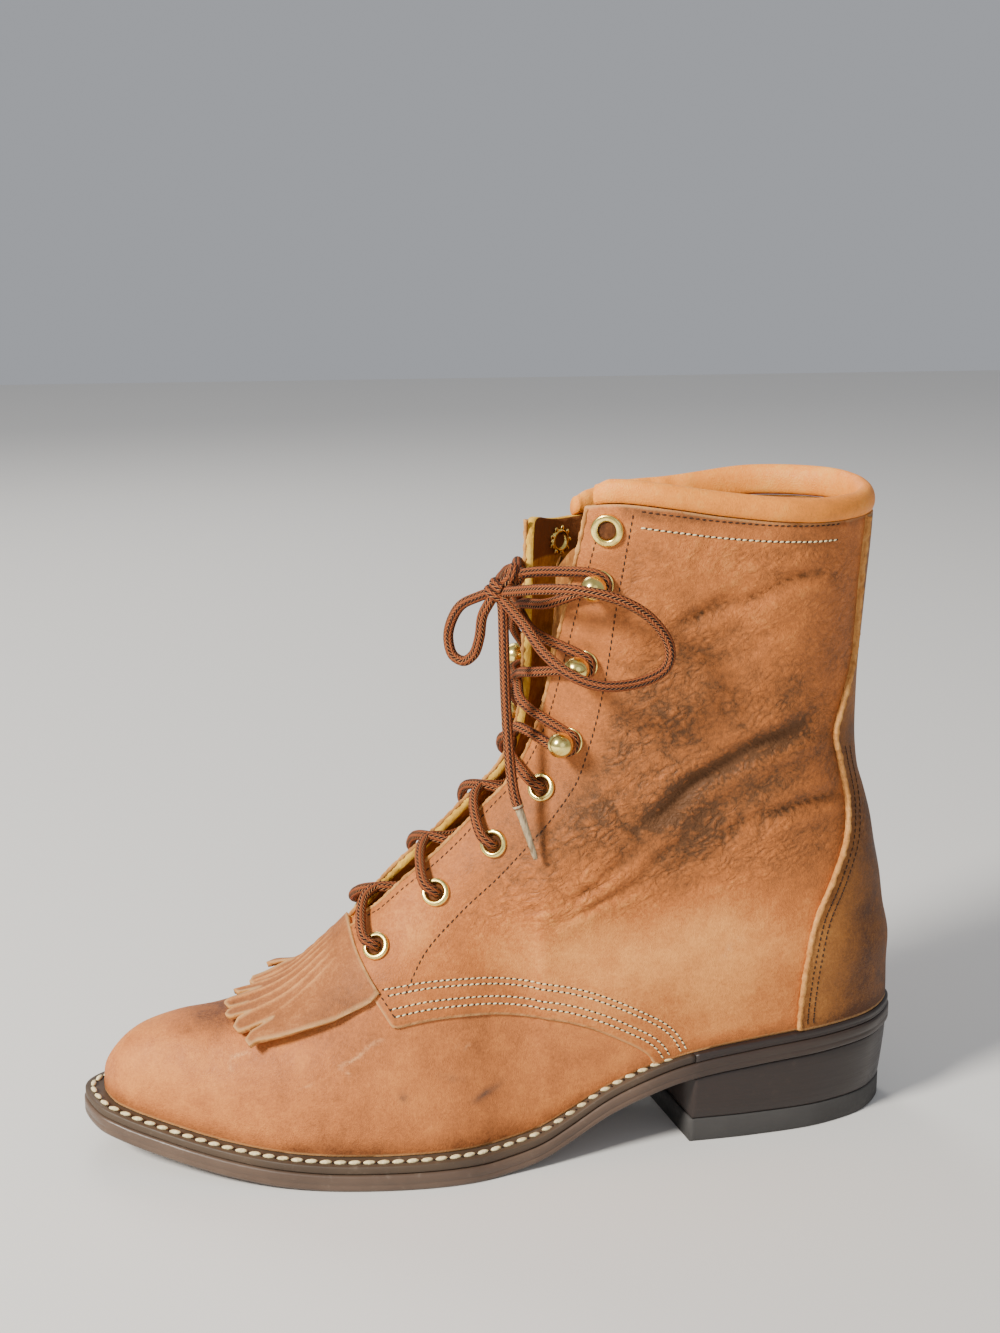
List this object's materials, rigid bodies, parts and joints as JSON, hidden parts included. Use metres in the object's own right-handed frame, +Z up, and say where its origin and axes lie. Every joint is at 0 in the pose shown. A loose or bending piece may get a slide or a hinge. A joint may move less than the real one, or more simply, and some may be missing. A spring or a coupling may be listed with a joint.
{
  "type": "lace-up boot",
  "caption": "Tan leather lace-up boot for the left foot with a fringed kiltie, brass eyelets and ball hooks, padded cuff, stitched welt and stacked heel.",
  "frame": {"origin": "middle of the boot's box without the bow, on the floor", "axes": "+X towards the heel, +Y towards the inner side of the foot, +Z up"},
  "size_m": [0.3046, 0.1017, 0.2463],
  "materials": {
    "upper_leather": "pulled-up tan leather, creased, dull",
    "cuff_leather": "soft tan leather, satin",
    "tongue_suede": "rough suede, dull",
    "insole_leather": "bare leather, dull",
    "sole_edge": "dark brown edge ink, satin",
    "heel_lift": "dull rubber",
    "brass": "bright pale brass",
    "lace": "round woven lace, dull"
  },
  "bodies": {
    "root": {"outsole": "sole_edge", "welt": "sole_edge", "heel_base": "sole_edge", "heel_lift": "heel_lift", "insole": "insole_leather", "upper": "upper_leather", "collar_cuff": "cuff_leather", "tongue": "tongue_suede", "kiltie": "upper_leather", "lace_crossings": "lace", "eyelet_lateral_1": "brass", "eyelet_lateral_2": "brass", "eyelet_lateral_3": "brass", "eyelet_lateral_4": "brass", "eyelet_lateral_5": "brass", "eyelet_medial_1": "brass", "eyelet_medial_2": "brass", "eyelet_medial_3": "brass", "eyelet_medial_4": "brass", "eyelet_medial_5": "brass", "hook_lateral_1": "brass", "hook_lateral_2": "brass", "hook_lateral_3": "brass", "hook_medial_1": "brass", "hook_medial_2": "brass", "hook_medial_3": "brass", "lace_bow": "lace", "lace_end_lateral": "lace", "lace_end_medial": "lace"}
  },
  "joints": []
}
